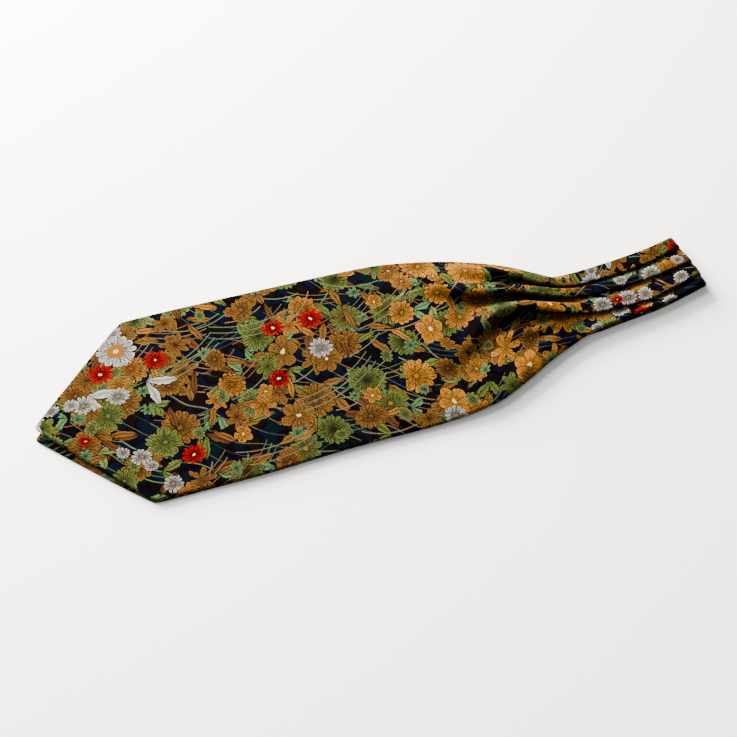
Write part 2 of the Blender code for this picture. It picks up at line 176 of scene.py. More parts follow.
# The under blade's outline and thickness
under = columns(("x", "far", "near", "thick"), (
    (0.0, 78.0, -88.6, 1.8),
    (84.0, 78.0, -88.6, 1.8),
    (155.0, 78.5, -89.0, 1.8),
    (240.0, 76.5, -86.5, 1.8),
    (303.0, 73.5, -86.0, 2.0),
    (329.0, 69.0, -85.0, 2.6),
    (363.0, 59.5, -80.5, 3.4),
    (395.0, 47.5, -68.5, 3.8),
    (419.0, 35.5, -57.0, 3.8),
    (437.0, 23.5, -49.5, 3.8),
    (452.0, 15.5, -43.5, 3.8),
    (470.0, 15.5, -41.5, 3.8),
))

bladePoint = {
    "depthFar": 84.0,    # from the point to the far corner, along x
    "depthNear": 80.0,
    "upperY": 2.5,
    "underY": -7.0,
    "underX": -1.5,
    "fade": 230.0,       # rows of cloth follow the point up to here
    "power": 1.6,
    "cornerEase": 1.6,   # how much the corners are rounded in
    "cornerRun": 10.0,
}


def lineOn(pen, length):
    # pen is [y, z, heading]; heading 0 runs towards -y and a positive one climbs
    start = (pen[0], pen[1])
    pen[0] -= length * math.cos(pen[2])
    pen[1] += length * math.sin(pen[2])
    return [start, (pen[0], pen[1])]


def bendOn(pen, angle, length, steps=24):
    points = [(pen[0], pen[1])]
    for _ in range(steps):
        pen[2] += angle / steps / 2
        points.append(lineOn(pen, length / steps)[1])
        pen[2] += angle / steps / 2
    return points


def sweepTo(pen, y, z, heading, steps=40):
    y0, z0, pull = pen[0], pen[1], math.hypot(y - pen[0], z - pen[1])
    dy0, dz0 = -pull * math.cos(pen[2]), pull * math.sin(pen[2])
    dy1, dz1 = -pull * math.cos(heading), pull * math.sin(heading)
    points = []
    for k in range(steps + 1):
        t = k / steps
        a, b = (1 + 2 * t) * (1 - t) ** 2, t * t * (3 - 2 * t)
        c, d = t * (1 - t) ** 2, -t * t * (1 - t)
        points.append((a * y0 + b * y + c * dy0 + d * dy1, a * z0 + b * z + c * dz0 + d * dz1))
    pen[:] = [y, z, heading]
    return points


def resampled(points, faces):
    lengths = [0.0]
    for (y0, z0), (y1, z1) in zip(points, points[1:]):
        lengths.append(lengths[-1] + math.hypot(y1 - y0, z1 - z0))
    made = []
    for k in range(faces):
        at = lengths[-1] * k / faces
        i = min(bisect_right(lengths, at), len(lengths) - 1) - 1
        t = (at - lengths[i]) / (lengths[i + 1] - lengths[i])
        made.append(tuple(p + (q - p) * t for p, q in zip(points[i], points[i + 1])))
    return made


clothFaces = {"hem": 2, "edge": 7, "strips": (16, 18, 20, 26), "turn": 8, "goBack": 4}


def edgeTurn(y, z, rise, x):
    pen = [y, z, -rise]
    curl = math.radians(edge["curl"](x))
    return bendOn(pen, -(curl - rise), edge["bend"](x)), lineOn(pen, edge["hem"](x))


def shoulder(outline, x):
    curl = math.radians(edge["curl"](x))
    radius = edge["bend"](x) / curl
    inset = cravat["silkWall"] / 2 + radius * math.sin(min(curl, math.pi / 2))
    return outline - math.copysign(inset, outline)


def section(x):
    # the upper cloth's mid-line across x, from the far hem over the pleats to the near hem
    rise = math.radians(edge["rise"](x))
    far, near = shoulder(edge["far"](x), x), shoulder(edge["near"](x), x)
    bend, hem = edgeTurn(-far, edge["farZ"](x), rise, x)
    points = []
    for part, faces in ((hem, clothFaces["hem"]), (bend, clothFaces["edge"])):
        points += resampled([(-y, z) for y, z in reversed(part)], faces)
    pen = [far, edge["farZ"](x), rise]
    runOn = 0.0
    for pleat, faces in zip(pleats, clothFaces["strips"]):
        turn, bend, depth = math.radians(pleat["turn"](x)), pleat["bend"](x), pleat["depth"](x)
        radius = bend / max(turn, 0.01)
        outside = (radius + cravat["silkWall"] / 2) * math.sin(min(turn, math.pi / 2))
        drop = 2 * radius * (1 - math.cos(turn)) + depth * math.sin(turn)
        goesBack = max(0.0, -depth * math.cos(turn))
        strip = lineOn(pen, runOn)
        strip += sweepTo(pen, pleat["lip"](x) + outside + goesBack, pleat["floor"](x) + drop, 0.0)
        strip += lineOn(pen, goesBack)
        points += resampled(strip, faces)
        points += resampled(bendOn(pen, -turn, bend), clothFaces["turn"])
        points += resampled(lineOn(pen, depth), clothFaces["goBack"])
        points += resampled(bendOn(pen, turn, bend), clothFaces["turn"])
        runOn = max(0.0, pen[0] - pleat["lip"](x))
    strip = lineOn(pen, runOn) + sweepTo(pen, near, edge["nearZ"](x), -rise)
    points += resampled(strip, clothFaces["strips"][-1])
    bend, hem = edgeTurn(near, edge["nearZ"](x), rise, x)
    points += resampled(bend, clothFaces["edge"]) + resampled(hem, clothFaces["hem"])
    return points + [hem[-1]]


def acrossCloth(points):
    # how far along the cloth each point lies from the middle of its width
    along = [0.0]
    for (y0, z0), (y1, z1) in zip(points, points[1:]):
        along.append(along[-1] + math.hypot(y1 - y0, z1 - z0))
    return [along[-1] / 2 - value for value in along]


# Soft folds pressed in by hand, each from one place (x, y) to another on the blade, with its half
# width and its height in the middle, which is negative for a trough.
softFolds = (
    (380.0, -27.0, 448.0, -29.5, 5.0, 3.2),
    (372.0, -24.0, 334.0, -58.0, 9.0, -0.3),
    (352.0, -28.0, 300.0, -44.0, 12.0, 0.8),
    (398.0, -30.0, 352.0, -66.0, 7.0, 0.9),
    (430.0, -32.0, 384.0, -58.0, 5.0, -0.9),
    (446.0, -34.0, 402.0, -52.0, 3.5, 0.8),
    (350.0, 26.0, 296.0, 12.0, 9.0, -0.8),
    (345.0, 44.0, 284.0, 52.0, 10.0, 0.9),
    (372.0, 48.0, 322.0, 62.0, 6.0, -0.9),
    (410.0, 32.0, 362.0, 50.0, 4.0, -0.8),
    (428.0, 22.0, 392.0, 40.0, 3.0, 0.7),
    (330.0, 0.0, 262.0, -10.0, 14.0, 0.6),
    (300.0, -20.0, 214.0, -34.0, 16.0, -0.5),
    (252.0, 30.0, 168.0, 18.0, 20.0, 0.5),
    (150.0, -40.0, 96.0, -20.0, 18.0, 0.4),
    (60.0, 10.0, 20.0, 2.0, 14.0, 0.5),
    (470.0, -12.0, 440.0, -14.0, 2.5, -0.5),
    (466.0, -31.0, 436.0, -38.0, 2.5, -0.7),
)


def foldHeight(x, y):
    total = 0.0
    for x0, y0, x1, y1, half, height in softFolds:
        run = math.hypot(x1 - x0, y1 - y0)
        along = ((x - x0) * (x1 - x0) + (y - y0) * (y1 - y0)) / run / run
        if -0.6 < along < 1.6:
            off = abs((x - x0) * (y1 - y0) - (y - y0) * (x1 - x0)) / run
            ends = smoothStep(-0.35, 0.3, along) * smoothStep(1.45, 0.55, along)
            total += height * ends * math.exp(-(off / half) ** 2)
    return total


def pointFade(x):
    return max(0.0, 1 - x / bladePoint["fade"]) ** bladePoint["power"]


apexColumn = min(range(len(section(0.0))), key=lambda i: abs(section(0.0)[i][0] - bladePoint["upperY"]))


def bladeRow(x, turned=0.0):
    # one row of the upper blade as (place, cloth coordinates); turned is the angle round the tip's fold
    points = section(x)
    along = acrossCloth(points)
    follow = pointFade(x)
    apexY = points[apexColumn][0]
    soften = 2.0 + x / 4
    radius = 1.0
    inset = (radius + cravat["silkWall"] / 2) * math.sqrt(2)
    row = []
    for i, (y, z) in enumerate(points):
        depth, end = (bladePoint["depthFar"], 0) if i <= apexColumn else (bladePoint["depthNear"], -1)
        share = (y - apexY) / (points[end][0] - apexY)
        reach = math.hypot(depth * share, soften) - soften
        ease = 1 - bladePoint["cornerEase"] / edge["far"](0) * math.exp(-x / bladePoint["cornerRun"]) * share ** 6
        rowX = x + follow * reach + inset * math.exp(-x / 6) - radius * math.sqrt(2) * math.sin(turned)
        clear = under["thick"](rowX) + cravat["silkWall"] / 2 + 0.15
        fold = foldHeight(rowX, y)
        lifted = z + fold * (smoothStep(clear, clear + 2.5, z) if fold < 0 else 1.0)
        lifted += 0.9 * math.exp(-max(0.0, x) / 40) * math.exp(-((y - apexY) / 30) ** 2)
        lifted -= radius * (1 - math.cos(turned))
        cloth = (rowX - 1.2 * turned, along[i])
        row.append(((rowX, y * ease, max(lifted, clear)), cloth))
    return row


# How far past its mean length the band is folded, from the near edge to the far one
foldSlant = column(((-26.0, 5.5), (-15.0, 5.0), (0.0, 3.0), (8.0, 1.2), (28.0, -3.5)), ("y", "past"), "past")


neckbandSilk = {"step": 4.0, "foldRows": 14, "levelled": 0.85}


def bandRow(x, angle):
    # one row of the neckband, turned by the angle round the fold; 0 is the upper run
    points = section(x)
    along = acrossCloth(points)
    settled = smoothStep(foldX - 40, foldX, x)
    row = []
    for (y, z), across in zip(points, along):
        step = settled * foldSlant(y)
        height = z - bandHalf
        # the iron has pressed the strips' ends almost into one line
        reach = height + settled * neckbandSilk["levelled"] * (bandTop - bandHalf - height)
        place = (x + step + reach * math.sin(angle), y, bandHalf + height * math.cos(angle))
        beyond = 2 * foldX - x if angle > 3 else x
        cloth = (beyond + bandHalf * math.sin(min(angle, math.pi / 2)), across)
        row.append((place, cloth))
    return row


def stepped(start, stop, step):
    count = max(1, round((stop - start) / step))
    return [start + (stop - start) * k / count for k in range(count)]


def newPiece(name, bm, wall=None):
    mesh = bpy.data.meshes.new(name)
    bm.to_mesh(mesh)
    bm.free()
    piece = bpy.data.objects.new(name, mesh)
    bpy.context.scene.collection.objects.link(piece)
    if wall:
        thicken = piece.modifiers.new("silkWall", "SOLIDIFY")
        thicken.thickness = wall * mm
        thicken.offset = 0.0
        bpy.context.view_layer.update()
        seen = piece.evaluated_get(bpy.context.evaluated_depsgraph_get())
        piece.data = bpy.data.meshes.new_from_object(seen)
        piece.modifiers.clear()
    piece.data.shade_smooth()
    piece.data.set_sharp_from_angle(angle=math.radians(50))   # the wall's cut rims stay crisp
    return piece


def silkFromRows(name, rows):
    across, along = len(rows[0]) - 1, len(rows) - 1
    bm = bmesh.new()
    bmesh.ops.create_grid(bm, x_segments=along, y_segments=across, size=1.0)
    clothAt = {}
    for vert in bm.verts:
        i = round((vert.co.x + 1) / 2 * along)
        j = round((1 - vert.co.y) / 2 * across)
        place, clothAt[vert] = rows[i][j]
        vert.co = toFrame(*place)
    area = sum(face.calc_area() for face in bm.faces)
    clothLayer = bm.loops.layers.uv.new("cloth")
    for face in bm.faces:
        for loop in face.loops:
            loop[clothLayer].uv = [value * mm for value in clothAt[loop.vert]]
    return newPiece(name, bm, cravat["silkWall"]), area


upperBladeSilk = {
    "tipTurns": 6,        # rows round the turned edge of the point
    "tipTurn": 100.0,     # degrees
    "stepFlat": 6.0,      # from row to row where the blade lies flat
    "stepGathers": 2.4,
    "gathersFrom": 290.0,
}
settings = upperBladeSilk
rows = [bladeRow(0.0, math.radians(settings["tipTurn"] * k / settings["tipTurns"]))
        for k in range(settings["tipTurns"], 0, -1)]
along = [0.0, 1.5, 3.5] + stepped(6.0, settings["gathersFrom"], settings["stepFlat"])
along += stepped(settings["gathersFrom"], cravat["bandStart"], settings["stepGathers"])
rows += [bladeRow(x) for x in along + [cravat["bandStart"]]]
bladeSilk, bladeArea = silkFromRows("bladeSilk", rows)
print("stage: upper blade,", len(rows), "rows, cut area", round(bladeArea, 4), "m2")

settings = neckbandSilk
along = stepped(cravat["bandStart"], foldX, settings["step"])
rows = [bandRow(x, 0.0) for x in along]
rows += [bandRow(foldX, math.pi * k / settings["foldRows"]) for k in range(settings["foldRows"])]
rows += [bandRow(x, math.pi) for x in [foldX] + along[::-1]]
bandSilk, bandArea = silkFromRows("bandSilk", rows)
print("stage: neckband,", len(rows), "rows, cut area", round(bandArea, 4), "m2")

underBladeSilk = {
    "across": 26,
    "rim": 0.5,           # how far each of the two layers rounds in at the edge
    "grooveDepth": 1.1,   # of the pleats pressed into the underside
    "grooveHalf": 1.6,
    "clothShift": (150.0, 31.0),   # the print falls elsewhere on the second blade
}
underLevels = (
    (0.0, 0.5), (0.03, 0.28), (0.1, 0.08), (0.2, 0.0), (0.34, 0.05), (0.44, 0.24), (0.49, 0.75),
    (0.51, 0.75), (0.56, 0.24), (0.66, 0.05), (0.8, 0.0), (0.9, 0.08), (0.97, 0.28), (1.0, 0.5),
)


def underPlace(x, share, inset, up):
    out = abs(2 * share - 1)
    depth = bladePoint["depthFar"] if share < 0.5 else bladePoint["depthNear"]
    soften = 1.0 + x / 4
    follow = pointFade(x)
    rowX = x + follow * (math.hypot(depth * out, soften) - soften + bladePoint["underX"])
    outline = under["far"](rowX) - inset if share < 0.5 else under["near"](rowX) + inset
    ease = 1 - bladePoint["cornerEase"] / edge["far"](0) * math.exp(-x / bladePoint["cornerRun"]) * out ** 6
    centre = bladePoint["underY"] * follow
    y = (centre + (outline - centre) * out) * ease
    rowX += inset * math.sqrt(2) * math.exp(-x / 2)
    z = under["thick"](rowX) * up
    pressed = smoothStep(345, 450, rowX) * (1 - up) ** 4
    for pleat in pleats:
        z += underBladeSilk["grooveDepth"] * pressed * math.exp(
            -((y - pleat["lip"](rowX)) / underBladeSilk["grooveHalf"]) ** 2)
    if x >= cravat["bandStart"]:
        rowX -= 0.2
    return rowX, y, z


settings = underBladeSilk
along = [0.0, 2.0, 5.0] + stepped(9.0, 340.0, 8.0) + stepped(340.0, cravat["bandStart"], 3.0)
along.append(cravat["bandStart"])
across = 4 * settings["across"]
bm = bmesh.new()
bmesh.ops.create_grid(bm, x_segments=len(along) - 1, y_segments=across, size=1.0)
spot = bm.verts.layers.float_vector.new("spot")
for vert in bm.verts:
    vert[spot] = (along[round((vert.co.x + 1) / 2 * (len(along) - 1))], (1 - vert.co.y) / 2, 0)
level = list(bm.faces)
bottom = None
for up, inset in underLevels:
    if up > 0:
        made = bmesh.ops.extrude_face_region(bm, geom=level)["geom"]
        if bottom is None:
            bottom = level
        else:
            bmesh.ops.delete(bm, geom=level, context="FACES")
        level = [item for item in made if isinstance(item, bmesh.types.BMFace)]
    for vert in {vert for face in level for vert in face.verts}:
        x, share, _ = vert[spot]
        vert.co = toFrame(*underPlace(x, share, inset * settings["rim"] / 0.5, up))
bmesh.ops.recalc_face_normals(bm, faces=bm.faces)
clothLayer = bm.loops.layers.uv.new("cloth")
for face in bm.faces:
    for loop in face.loops:
        place = loop.vert.co
        shiftAlong, shiftAcross = (length * mm for length in settings["clothShift"])
        loop[clothLayer].uv = (place.x - shiftX * mm + shiftAlong, -place.y + shiftY * mm + shiftAcross)
underArea = sum(face.calc_area() for face in bm.faces) / 2
underSilk = newPiece("underSilk", bm)
print("stage: under blade, cut area", round(underArea, 4), "m2")


def linear(hexColour, alpha=1.0):
    # an sRGB hex value as the linear colour that shaders use
    parts = [int(hexColour[i:i + 2], 16) / 255 for i in (1, 3, 5)]
    return [c / 12.92 if c <= 0.04045 else ((c + 0.055) / 1.055) ** 2.4 for c in parts] + [alpha]


def addNode(tree, kind, inputs=(), stops=None, **settings):
    # adds a node with its settings; an input is a number, a colour, a socket or a node
    node = tree.nodes.new("ShaderNode" + kind)
    for name, value in settings.items():
        setattr(node, name, value)
    for key, value in (inputs.items() if isinstance(inputs, dict) else enumerate(inputs)):
        if isinstance(value, bpy.types.Node):
            value = value.outputs[0]
        if isinstance(value, bpy.types.NodeSocket):
            tree.links.new(value, node.inputs[key])
        elif value is not None:
            node.inputs[key].default_value = value
    if stops:
        ramp = node.color_ramp
        while len(ramp.elements) < len(stops):
            ramp.elements.new(1.0)
        for element, (position, colour) in zip(ramp.elements, stops):
            element.position = position
            element.color = colour
    return node


# Flower kinds of the print. petals is their number, notch how deep the gap between two goes, blunt
# how pointed their ends are, rings how much inner rows of petals show, heart the size of the centre.
flowerKinds = {
    "mum": {"petals": 13, "notch": 0.25, "blunt": 0.8, "rings": 1.0, "heart": 0.12},
    "pompon": {"petals": 17, "notch": 0.2, "blunt": 1.2, "rings": 0.9, "heart": 0.0},
    "five": {"petals": 5, "notch": 0.42, "blunt": 0.5, "rings": 0.0, "heart": 0.15},
    "six": {"petals": 6, "notch": 0.45, "blunt": 0.6, "rings": 0.0, "heart": 0.13},
    "lily": {"petals": 6, "notch": 0.66, "blunt": 1.6, "rings": 0.0, "heart": 0.08},
    "maple": {"petals": 7, "notch": 0.55, "blunt": 1.3, "rings": 0.0, "heart": 0.0},
    "aster": {"petals": 11, "notch": 0.42, "blunt": 1.0, "rings": 0.4, "heart": 0.13},
    "daisy": {"petals": 13, "notch": 0.5, "blunt": 0.75, "rings": 0.0, "heart": 0.17},
    "bigDaisy": {"petals": 12, "notch": 0.26, "blunt": 0.6, "rings": 0.0, "heart": 0.46},
}
inks = {
    "ground": "#030203", "groundNavy": "#040514", "groundTeal": "#030a0d", "groundBrown": "#080504",
    "ochre": "#64441b", "amber": "#84551e", "gold": "#925f1d", "rust": "#4c2d18",
    "olive": "#4b5524", "moss": "#374124", "sage": "#5a6334", "mint": "#48653f",
    "white": "#99958e", "cream": "#a38d54", "red": "#7e0404", "tan": "#54462c",
    "stemGreen": "#3c4a34", "stemTeal": "#1b2d27", "outline": "#060303",
}


def scattered(tree, cloth, spec):
    # the point's place from the middle of its own motif, each motif turned its own way by up to spin
    # past turn, with three chances from 0 to 1 that are the same all over that motif
    moved = addNode(tree, "VectorMath", [cloth, (*spec["offset"], 0)], operation="ADD")
    cells = addNode(tree, "TexVoronoi", {"Vector": moved, "Scale": 1 / spec["spacing"],
                                         "Randomness": spec["random"]}, voronoi_dimensions="2D")
    local = addNode(tree, "VectorMath", [moved, cells.outputs["Position"]], operation="SUBTRACT")
    chance = addNode(tree, "SeparateColor", [cells.outputs["Color"]])
    spin = addNode(tree, "Math", [chance.outputs[1], spec["spin"], spec.get("turn", 0.0)],
                   operation="MULTIPLY_ADD")
    turned = addNode(tree, "VectorRotate", {"Vector": local, "Angle": spin}, rotation_type="Z_AXIS")
    shown = None
    if "where" in spec:
        # how many of the motifs are there changes along the cloth
        along = addNode(tree, "SeparateXYZ", [cells.outputs["Position"]])
        share = addNode(tree, "Math", [along.outputs[0], 1 / printLength], operation="MULTIPLY")
        stops = [((x + spec["offset"][0]) / printLength, (0, 0, 0, part)) for x, part in spec["where"]]
        density = addNode(tree, "ValToRGB", [share], stops=stops).outputs["Alpha"]
        shown = addNode(tree, "Math", [chance.outputs[1], density], operation="LESS_THAN")
    return turned, chance, shown


def pickedInks(tree, chance, mix, column):
    # the ink of a motif, picked by chance; its alpha says if the motif is there at all
    stops, start = [], 0.0
    for row in mix:
        stops.append((start, linear(inks[row[column]]) if row[column] else (0, 0, 0, 0)))
        start += row[-1]
    ramp = addNode(tree, "ValToRGB", [chance], stops=stops)
    ramp.color_ramp.interpolation = "CONSTANT"
    return ramp


def laidOver(tree, under, over, share):
    return addNode(tree, "Mix", {0: share, 6: under, 7: over}, data_type="RGBA").outputs[2]


def darkLine(tree, distance, half, strength):
    # a soft line of the outline's ink where the distance in millimetres is small
    return addNode(tree, "MapRange", [distance, half * 0.4, half, strength, 0.0])


def flowerLayer(tree, cloth, under, spec):
    turned, chance, shown = scattered(tree, cloth, spec)
    lean = addNode(tree, "MapRange", [chance.outputs[0], 0.0, 1.0, 1.0, spec["lean"]])
    leaning = addNode(tree, "CombineXYZ", [1.0, lean, 1.0])
    flat = addNode(tree, "VectorMath", [turned, leaning], operation="MULTIPLY")
    parts = addNode(tree, "SeparateXYZ", [flat])
    angle = addNode(tree, "Math", [parts.outputs[1], parts.outputs[0]], operation="ARCTAN2")
    radius = addNode(tree, "VectorMath", [flat], operation="LENGTH").outputs["Value"]
    size = addNode(tree, "MapRange", [chance.outputs[2], 0.0, 1.0, *spec["size"]])
    stops, hearts, start = [], [], 0.0
    for kind, ink, heartInk, weight in spec["mix"]:
        facts = flowerKinds[kind]
        stops.append((start, (facts["petals"] / 32, facts["notch"], facts["blunt"] / 2, facts["rings"])))
        hearts.append((start, linear(inks[heartInk or "ground"], facts["heart"])))
        start += weight
    shape = addNode(tree, "ValToRGB", [chance.outputs[0]], stops=stops)
    heart = addNode(tree, "ValToRGB", [chance.outputs[0]], stops=hearts)
    shape.color_ramp.interpolation = heart.color_ramp.interpolation = "CONSTANT"
    ink = pickedInks(tree, chance.outputs[0], spec["mix"], 1)
    facts = addNode(tree, "SeparateColor", [shape])
    halfPetals = addNode(tree, "Math", [facts.outputs[0], 16.0], operation="MULTIPLY")
    phase = addNode(tree, "Math", [angle, halfPetals], operation="MULTIPLY")
    crest = addNode(tree, "Math", [addNode(tree, "Math", [phase], operation="COSINE")], operation="ABSOLUTE")
    trough = addNode(tree, "Math", [addNode(tree, "Math", [phase], operation="SINE")], operation="ABSOLUTE")
    pointed = addNode(tree, "Math", [facts.outputs[2], 2.0], operation="MULTIPLY")
    bulge = addNode(tree, "Math", [crest, pointed], operation="POWER")
    dip = addNode(tree, "Math", [1.0, bulge], operation="SUBTRACT")
    reach = addNode(tree, "Math", [addNode(tree, "Math", [dip, facts.outputs[1]], operation="MULTIPLY")],
                    operation="MULTIPLY_ADD")
    reach.inputs[1].default_value = -1.0
    reach.inputs[2].default_value = 1.0
    rim = addNode(tree, "Math", [size, reach], operation="MULTIPLY")
    past = addNode(tree, "Math", [radius, rim], operation="SUBTRACT")
    inPetals = addNode(tree, "Math", [past, 0.0], operation="LESS_THAN")
    inOutline = addNode(tree, "Math", [past, spec["outline"]], operation="LESS_THAN")
    petalWidth = addNode(tree, "Math", [radius, halfPetals], operation="DIVIDE")
    seam = addNode(tree, "Math", [petalWidth, crest], operation="MULTIPLY")
    vein = addNode(tree, "Math", [petalWidth, trough], operation="MULTIPLY")
    lines = addNode(tree, "Math", [darkLine(tree, seam, spec["line"], 0.85),
                                   darkLine(tree, vein, spec["line"] * 0.8, 0.5)], operation="MAXIMUM")
    # inner rows of petals on full flowers, their scallops half a petal on from the outer ones
    scallop = addNode(tree, "Math", [trough, 0.22], operation="MULTIPLY_ADD")
    scallop.inputs[2].default_value = 0.78
    inner = addNode(tree, "Math", [radius, scallop], operation="DIVIDE")
    row = addNode(tree, "Math", [inner, spec["rowWidth"]], operation="PINGPONG")
    rows = addNode(tree, "Math", [darkLine(tree, row, spec["line"], 0.75), shape.outputs["Alpha"]],
                   operation="MULTIPLY")
    lines = addNode(tree, "Math", [lines, rows], operation="MAXIMUM")
    share = addNode(tree, "Math", [radius, size], operation="DIVIDE")
    # fine strokes from the heart outwards, as an engraver shades a petal, and a bright edge
    around = addNode(tree, "Math", [angle, spec["strokes"]], operation="MULTIPLY")
    outwards = addNode(tree, "Math", [radius, 0.3], operation="MULTIPLY")
    polar = addNode(tree, "CombineXYZ", [around, outwards, 0.0])
    stroke = addNode(tree, "TexNoise", {"Vector": polar, "Scale": 1.0, "Detail": 0.0}, noise_dimensions="2D")
    shade = addNode(tree, "MapRange", [stroke, 0.36, 0.62, 0.4, 1.0])
    tone = addNode(tree, "MapRange", [share, 0.1, 1.0, 0.55, 0.85])
    toned = addNode(tree, "Math", [tone, shade], operation="MULTIPLY")
    bright = addNode(tree, "MapRange", [past, -1.0, -0.4, 0.0, 1.0])
    toned = addNode(tree, "Math", [toned, bright], operation="MAXIMUM")
    petal = laidOver(tree, linear(inks["outline"]), ink.outputs["Color"], toned)
    drawn = laidOver(tree, petal, linear(inks["outline"]), lines)
    inHeart = addNode(tree, "Math", [share, heart.outputs["Alpha"]], operation="LESS_THAN")
    drawn = laidOver(tree, drawn, heart.outputs["Color"], inHeart)
    if "dot" in spec:
        # the pale eye in the middle of the heart
        inDot = addNode(tree, "Math", [share, spec["dot"]], operation="LESS_THAN")
        drawn = laidOver(tree, drawn, linear(inks["cream"]), inDot)
    drawn = laidOver(tree, linear(inks["outline"]), drawn, inPetals)
    there = addNode(tree, "Math", [inOutline, ink.outputs["Alpha"]], operation="MULTIPLY")
    if shown:
        there = addNode(tree, "Math", [there, shown], operation="MULTIPLY")
    return laidOver(tree, under, drawn, there)


def leafLayer(tree, cloth, under, spec):
    turned, chance, shown = scattered(tree, cloth, spec)
    parts = addNode(tree, "SeparateXYZ", [turned])
    if spec["pair"]:
        # two leaves of one stalk, mirrored about it
        mirrored = addNode(tree, "Math", [parts.outputs[1]], operation="ABSOLUTE")
        both = addNode(tree, "CombineXYZ", [parts.outputs[0], mirrored, 0.0])
        opened = addNode(tree, "VectorRotate", {"Vector": both, "Angle": -math.radians(spec["pair"])},
                         rotation_type="Z_AXIS")
        moved = addNode(tree, "VectorMath", [opened, (-spec["size"][0], 0, 0)], operation="ADD")
        parts = addNode(tree, "SeparateXYZ", [moved])
    length, width = spec["size"]
    along = addNode(tree, "Math", [parts.outputs[0], 1 / length], operation="MULTIPLY")
    square = addNode(tree, "Math", [along, along], operation="MULTIPLY")
    belly = addNode(tree, "Math", [1.0, square], operation="SUBTRACT")
    egg = addNode(tree, "Math", [along, spec["egg"]], operation="MULTIPLY_ADD")
    egg.inputs[2].default_value = 1.0
    half = addNode(tree, "Math", [belly, egg], operation="MULTIPLY")
    teeth = addNode(tree, "Math", [parts.outputs[0], spec["tooth"]], operation="PINGPONG")
    teeth = addNode(tree, "Math", [teeth, spec["jag"]], operation="MULTIPLY_ADD")
    teeth.inputs[2].default_value = width
    rim = addNode(tree, "Math", [half, teeth], operation="MULTIPLY")
    off = addNode(tree, "Math", [parts.outputs[1]], operation="ABSOLUTE")
    past = addNode(tree, "Math", [off, rim], operation="SUBTRACT")
    inLeaf = addNode(tree, "Math", [past, 0.0], operation="LESS_THAN")
    inOutline = addNode(tree, "Math", [past, spec["outline"]], operation="LESS_THAN")
    slant = addNode(tree, "Math", [parts.outputs[0], off], operation="ADD")
    vein = addNode(tree, "Math", [slant, 1.1], operation="PINGPONG")
    lines = addNode(tree, "Math", [darkLine(tree, off, 0.4, 0.8), darkLine(tree, vein, 0.35, 0.4)],
                    operation="MAXIMUM")
    ink = pickedInks(tree, chance.outputs[0], spec["mix"], 0)
    tone = addNode(tree, "MapRange", [off, 0.0, width, 0.5, 0.9])
    drawn = laidOver(tree, linear(inks["outline"]), ink.outputs["Color"], tone)
    drawn = laidOver(tree, drawn, linear(inks["outline"]), lines)
    drawn = laidOver(tree, linear(inks["outline"]), drawn, inLeaf)
    there = addNode(tree, "Math", [inOutline, ink.outputs["Alpha"]], operation="MULTIPLY")
    if shown:
        there = addNode(tree, "Math", [there, shown], operation="MULTIPLY")
    return laidOver(tree, under, drawn, there)


def stemLayer(tree, cloth, under, spec):
    # long thin stalks, all leaning about the same way, broken off here and there
    leaned = addNode(tree, "VectorRotate", {"Vector": cloth, "Angle": math.radians(spec["lean"])},
                     rotation_type="Z_AXIS")
    sway = addNode(tree, "TexNoise", {"Vector": leaned, "Scale": spec["sway"], "Detail": 0.0},
                   noise_dimensions="2D")
    swayed = addNode(tree, "Math", [sway, spec["swing"]], operation="MULTIPLY")
    parts = addNode(tree, "SeparateXYZ", [leaned])
    across = addNode(tree, "Math", [parts.outputs[1], swayed], operation="ADD")
    off = addNode(tree, "Math", [across, spec["spacing"] / 2], operation="PINGPONG")
    index = addNode(tree, "Math", [across, spec["spacing"]], operation="SNAP")
    run = addNode(tree, "Math", [parts.outputs[0], spec["run"]], operation="SNAP")
    luck = addNode(tree, "TexWhiteNoise", [addNode(tree, "CombineXYZ", [index, run, spec["spacing"]])],
                   noise_dimensions="3D")
    there = addNode(tree, "Math", [luck.outputs["Value"], spec["share"]], operation="LESS_THAN")
    inStem = addNode(tree, "Math", [off, spec["half"]], operation="LESS_THAN")
    share = addNode(tree, "Math", [inStem, there], operation="MULTIPLY")
    ink = pickedInks(tree, addNode(tree, "SeparateColor", [luck.outputs["Color"]]).outputs[1], spec["mix"], 0)
    return laidOver(tree, under, ink.outputs["Color"], share)


def bundleLayer(tree, cloth, under, spec):
    # a few thin stalks side by side, bowed like part of a circle
    turned, chance, shown = scattered(tree, cloth, spec)
    fromCentre = addNode(tree, "VectorMath", [turned, (spec["bow"], 0, 0)], operation="ADD")
    reach = addNode(tree, "VectorMath", [fromCentre], operation="LENGTH").outputs["Value"]
    past = addNode(tree, "Math", [reach, spec["bow"]], operation="SUBTRACT")
    off = addNode(tree, "Math", [past, spec["gap"] / 2], operation="PINGPONG")
    inStalk = addNode(tree, "Math", [off, spec["half"]], operation="LESS_THAN")
    spread = addNode(tree, "Math", [past], operation="ABSOLUTE")
    inBundle = addNode(tree, "Math", [spread, spec["spread"]], operation="LESS_THAN")
    parts = addNode(tree, "SeparateXYZ", [turned])
    run = addNode(tree, "Math", [parts.outputs[1]], operation="ABSOLUTE")
    ahead = addNode(tree, "Math", [parts.outputs[0], -spec["bow"]], operation="GREATER_THAN")
    ends = addNode(tree, "Math", [run, spec["run"]], operation="LESS_THAN")
    ink = pickedInks(tree, chance.outputs[0], spec["mix"], 0)
    share = addNode(tree, "Math", [inStalk, inBundle], operation="MULTIPLY")
    for factor in (ahead, ends, ink.outputs["Alpha"], shown):
        if factor:
            share = addNode(tree, "Math", [share, factor], operation="MULTIPLY")
    return laidOver(tree, under, ink.outputs["Color"], share)


